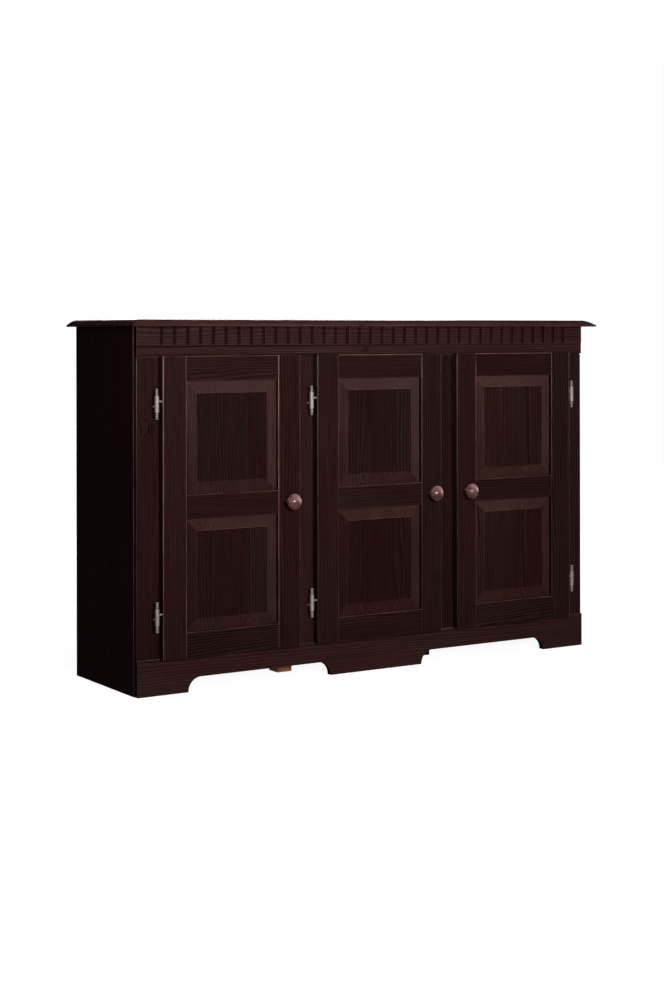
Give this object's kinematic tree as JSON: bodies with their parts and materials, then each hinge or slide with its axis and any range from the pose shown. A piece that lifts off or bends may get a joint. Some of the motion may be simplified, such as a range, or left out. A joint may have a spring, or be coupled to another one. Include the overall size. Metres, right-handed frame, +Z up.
{
  "type": "sideboard",
  "caption": "Low wide cupboard in dark stained pine with panelled doors on lift-off hinges, a grooved frieze, shelves behind the doors and an arched plinth.",
  "frame": {"origin": "on the floor, midway between the ends of the top board, and midway between the knob tips and the back edge of the top board", "axes": "+X to the right along the front, +Y from the doors to the back, +Z up"},
  "size_m": [1.34, 0.385, 0.85],
  "materials": {
    "stained_pine": "dark stained pine, satin lacquer",
    "panel_pine": "dark stained pine, satin lacquer",
    "back_board": "thin stained board, matt",
    "bare_pine": "bare planed pine",
    "knob_wood": "turned wood, gloss lacquer",
    "hinge_nickel": "nickel plated, polished",
    "plate_steel": "zinc plated",
    "catch_plastic": "moulded, matt"
  },
  "bodies": {
    "carcass": {"top_board": "stained_pine", "side_left": "stained_pine", "side_right": "stained_pine", "partition_left": "stained_pine", "partition_right": "stained_pine", "bottom_board": "stained_pine", "back_panel": "back_board", "frieze": "stained_pine", "stile_left": "stained_pine", "stile_right": "stained_pine", "mullion_left": "stained_pine", "mullion_right": "stained_pine", "plinth": "stained_pine", "shelf_left": "stained_pine", "shelf_middle": "stained_pine", "shelf_right": "stained_pine", "shelf_pins": "plate_steel", "support_foot_left": "bare_pine", "support_foot_right": "bare_pine", "door_catches": "catch_plastic", "frame_hinge_left_upper": "hinge_nickel", "frame_hinge_left_lower": "hinge_nickel", "frame_hinge_middle_upper": "hinge_nickel", "frame_hinge_middle_lower": "hinge_nickel", "frame_hinge_right_upper": "hinge_nickel", "frame_hinge_right_lower": "hinge_nickel"},
    "door_left": {"door_left_hinge_stile": "stained_pine", "door_left_lock_stile": "stained_pine", "door_left_top_rail": "stained_pine", "door_left_middle_rail": "stained_pine", "door_left_bottom_rail": "stained_pine", "door_left_upper_panel": "panel_pine", "door_left_lower_panel": "panel_pine", "door_left_knob": "knob_wood", "door_left_upper_hinge": "hinge_nickel", "door_left_lower_hinge": "hinge_nickel", "door_left_strike_plate": "plate_steel"},
    "door_middle": {"door_middle_hinge_stile": "stained_pine", "door_middle_lock_stile": "stained_pine", "door_middle_top_rail": "stained_pine", "door_middle_middle_rail": "stained_pine", "door_middle_bottom_rail": "stained_pine", "door_middle_upper_panel": "panel_pine", "door_middle_lower_panel": "panel_pine", "door_middle_knob": "knob_wood", "door_middle_upper_hinge": "hinge_nickel", "door_middle_lower_hinge": "hinge_nickel", "door_middle_strike_plate": "plate_steel"},
    "door_right": {"door_right_hinge_stile": "stained_pine", "door_right_lock_stile": "stained_pine", "door_right_top_rail": "stained_pine", "door_right_middle_rail": "stained_pine", "door_right_bottom_rail": "stained_pine", "door_right_upper_panel": "panel_pine", "door_right_lower_panel": "panel_pine", "door_right_knob": "knob_wood", "door_right_upper_hinge": "hinge_nickel", "door_right_lower_hinge": "hinge_nickel", "door_right_strike_plate": "plate_steel"}
  },
  "joints": [
    {"name": "door_left_swing", "type": "hinge", "parent": "carcass", "child": "door_left", "pos_m": [-0.601, -0.1495, 0.424], "axis": [0, 0, -1], "range_deg": [0, 170]},
    {"name": "door_middle_swing", "type": "hinge", "parent": "carcass", "child": "door_middle", "pos_m": [-0.1925, -0.1495, 0.424], "axis": [0, 0, -1], "range_deg": [0, 110]},
    {"name": "door_right_swing", "type": "hinge", "parent": "carcass", "child": "door_right", "pos_m": [0.601, -0.1495, 0.424], "axis": [0, 0, 1], "range_deg": [0, 170]}
  ]
}
